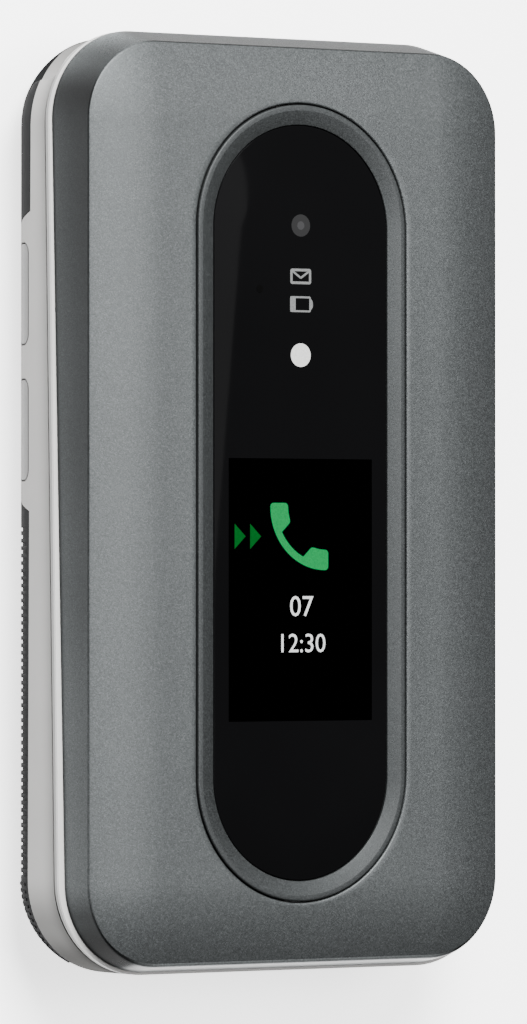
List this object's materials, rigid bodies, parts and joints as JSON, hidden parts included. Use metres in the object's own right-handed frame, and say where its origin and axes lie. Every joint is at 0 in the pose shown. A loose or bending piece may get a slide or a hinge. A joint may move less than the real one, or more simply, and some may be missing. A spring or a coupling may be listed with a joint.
{
  "type": "flip phone",
  "caption": "Clamshell mobile phone, closed: crowned metallic lid with an oval window and outer display, light keypad frame, ribbed back cover, sprung keys and a friction hinge.",
  "frame": {"origin": "under the middle of the back, which rests on Z = 0", "axes": "+X to the right looking at the lid's outer face, +Y towards the hinge end, +Z out of the lid's outer face"},
  "size_m": [0.0604, 0.1094, 0.0194],
  "materials": {
    "lid_paint": "satin dark grey paint with fine metal flake",
    "window_glass": "polished black-backed window",
    "display_black": "black display glass",
    "black_plastic": "matte",
    "lens_glass": "polished dark lens",
    "white_diffuser": "milky, smooth",
    "light_plastic": "satin light grey",
    "circuit_board": "solder resist",
    "bumper_rubber": "matte",
    "steel": "brushed",
    "flex_film": "smooth film",
    "cover_plastic": "matte with fine ribs",
    "chassis_plastic": "matte",
    "battery_label": "satin label",
    "contact_gold": "plated",
    "key_plastic": "satin",
    "call_green": "satin",
    "end_red": "satin",
    "assist_grey": "satin"
  },
  "bodies": {
    "base": {"hinge_cartridge": "steel", "hinge_flex": "flex_film", "keypad_frame": "light_plastic", "back_cover": "cover_plastic", "rear_chassis": "chassis_plastic", "keypad_dome_sheet": "flex_film", "main_circuit_board": "circuit_board", "shield_can": "steel", "battery": "battery_label", "battery_contacts": "contact_gold", "card_holder": "steel", "loudspeaker": "black_plastic", "microphone": "steel", "usb_socket": "steel", "headset_socket": "black_plastic", "vibration_motor": "steel", "antenna": "chassis_plastic", "side_key_board": "circuit_board", "assistance_switch": "black_plastic", "base_screws": "steel"},
    "lid": {"lid_outer_shell": "lid_paint", "lid_trim_ring": "lid_paint", "lid_window": "window_glass", "outer_display": "display_black", "camera_module": "black_plastic", "camera_lens": "lens_glass", "flash_lamp": "white_diffuser", "status_light_guide": "white_diffuser", "lid_inner_shell": "light_plastic", "main_display_window": "window_glass", "main_display": "display_black", "earpiece_speaker": "black_plastic", "lid_circuit_board": "circuit_board", "lid_bumpers": "bumper_rubber", "lid_screws": "steel", "closing_magnet": "steel", "hinge_cam_shaft": "steel", "hinge_pin": "steel"},
    "key_1_body": {"key_1": "key_plastic"},
    "key_2_body": {"key_2": "key_plastic"},
    "key_3_body": {"key_3": "key_plastic"},
    "key_4_body": {"key_4": "key_plastic"},
    "key_5_body": {"key_5": "key_plastic"},
    "key_6_body": {"key_6": "key_plastic"},
    "key_7_body": {"key_7": "key_plastic"},
    "key_8_body": {"key_8": "key_plastic"},
    "key_9_body": {"key_9": "key_plastic"},
    "key_star_body": {"key_star": "key_plastic"},
    "key_0_body": {"key_0": "key_plastic"},
    "key_hash_body": {"key_hash": "key_plastic"},
    "nav_key_body": {"nav_key": "key_plastic"},
    "ok_key_body": {"ok_key": "key_plastic"},
    "soft_key_left_body": {"soft_key_left": "key_plastic"},
    "soft_key_right_body": {"soft_key_right": "key_plastic"},
    "call_key_body": {"call_key": "call_green"},
    "end_key_body": {"end_key": "end_red"},
    "volume_up_key_body": {"volume_up_key": "light_plastic"},
    "volume_down_key_body": {"volume_down_key": "light_plastic"},
    "assistance_key_body": {"assistance_key": "assist_grey"}
  },
  "joints": [
    {"name": "lid_hinge", "type": "hinge", "parent": "base", "child": "lid", "pos_m": [0, 0.04955, 0.01128], "axis": [-1, 0, 0], "range_deg": [0, 152]},
    {"name": "key_1_press", "type": "slide", "parent": "base", "child": "key_1_body", "axis": [0, -0.0236, -0.9997], "range_m": [0, 0.0003], "stiffness_N_per_m": 200, "springref_m": -0.0005},
    {"name": "key_2_press", "type": "slide", "parent": "base", "child": "key_2_body", "axis": [0, -0.0236, -0.9997], "range_m": [0, 0.0003], "stiffness_N_per_m": 200, "springref_m": -0.0005},
    {"name": "key_3_press", "type": "slide", "parent": "base", "child": "key_3_body", "axis": [0, -0.0236, -0.9997], "range_m": [0, 0.0003], "stiffness_N_per_m": 200, "springref_m": -0.0005},
    {"name": "key_4_press", "type": "slide", "parent": "base", "child": "key_4_body", "axis": [0, -0.0236, -0.9997], "range_m": [0, 0.0003], "stiffness_N_per_m": 200, "springref_m": -0.0005},
    {"name": "key_5_press", "type": "slide", "parent": "base", "child": "key_5_body", "axis": [0, -0.0236, -0.9997], "range_m": [0, 0.0003], "stiffness_N_per_m": 200, "springref_m": -0.0005},
    {"name": "key_6_press", "type": "slide", "parent": "base", "child": "key_6_body", "axis": [0, -0.0236, -0.9997], "range_m": [0, 0.0003], "stiffness_N_per_m": 200, "springref_m": -0.0005},
    {"name": "key_7_press", "type": "slide", "parent": "base", "child": "key_7_body", "axis": [0, -0.0236, -0.9997], "range_m": [0, 0.0003], "stiffness_N_per_m": 200, "springref_m": -0.0005},
    {"name": "key_8_press", "type": "slide", "parent": "base", "child": "key_8_body", "axis": [0, -0.0236, -0.9997], "range_m": [0, 0.0003], "stiffness_N_per_m": 200, "springref_m": -0.0005},
    {"name": "key_9_press", "type": "slide", "parent": "base", "child": "key_9_body", "axis": [0, -0.0236, -0.9997], "range_m": [0, 0.0003], "stiffness_N_per_m": 200, "springref_m": -0.0005},
    {"name": "key_star_press", "type": "slide", "parent": "base", "child": "key_star_body", "axis": [0, -0.0236, -0.9997], "range_m": [0, 0.0003], "stiffness_N_per_m": 200, "springref_m": -0.0005},
    {"name": "key_0_press", "type": "slide", "parent": "base", "child": "key_0_body", "axis": [0, -0.0236, -0.9997], "range_m": [0, 0.0003], "stiffness_N_per_m": 200, "springref_m": -0.0005},
    {"name": "key_hash_press", "type": "slide", "parent": "base", "child": "key_hash_body", "axis": [0, -0.0236, -0.9997], "range_m": [0, 0.0003], "stiffness_N_per_m": 200, "springref_m": -0.0005},
    {"name": "nav_key_press", "type": "slide", "parent": "base", "child": "nav_key_body", "axis": [0, -0.0236, -0.9997], "range_m": [0, 0.0003], "stiffness_N_per_m": 200, "springref_m": -0.0005},
    {"name": "ok_key_press", "type": "slide", "parent": "base", "child": "ok_key_body", "axis": [0, -0.0236, -0.9997], "range_m": [0, 0.0003], "stiffness_N_per_m": 200, "springref_m": -0.0005},
    {"name": "soft_key_left_press", "type": "slide", "parent": "base", "child": "soft_key_left_body", "axis": [0, -0.0236, -0.9997], "range_m": [0, 0.0003], "stiffness_N_per_m": 200, "springref_m": -0.0005},
    {"name": "soft_key_right_press", "type": "slide", "parent": "base", "child": "soft_key_right_body", "axis": [0, -0.0236, -0.9997], "range_m": [0, 0.0003], "stiffness_N_per_m": 200, "springref_m": -0.0005},
    {"name": "call_key_press", "type": "slide", "parent": "base", "child": "call_key_body", "axis": [0, -0.0236, -0.9997], "range_m": [0, 0.0003], "stiffness_N_per_m": 200, "springref_m": -0.0005},
    {"name": "end_key_press", "type": "slide", "parent": "base", "child": "end_key_body", "axis": [0, -0.0236, -0.9997], "range_m": [0, 0.0003], "stiffness_N_per_m": 200, "springref_m": -0.0005},
    {"name": "volume_up_key_press", "type": "slide", "parent": "base", "child": "volume_up_key_body", "axis": [0.9511, 0, 0.309], "range_m": [0, 0.0003], "stiffness_N_per_m": 200, "springref_m": -0.0005},
    {"name": "volume_down_key_press", "type": "slide", "parent": "base", "child": "volume_down_key_body", "axis": [0.9511, 0, 0.309], "range_m": [0, 0.0003], "stiffness_N_per_m": 200, "springref_m": -0.0005},
    {"name": "assistance_key_press", "type": "slide", "parent": "base", "child": "assistance_key_body", "axis": [0, 0, 1], "range_m": [0, 0.00035], "stiffness_N_per_m": 200, "springref_m": -0.0005}
  ]
}
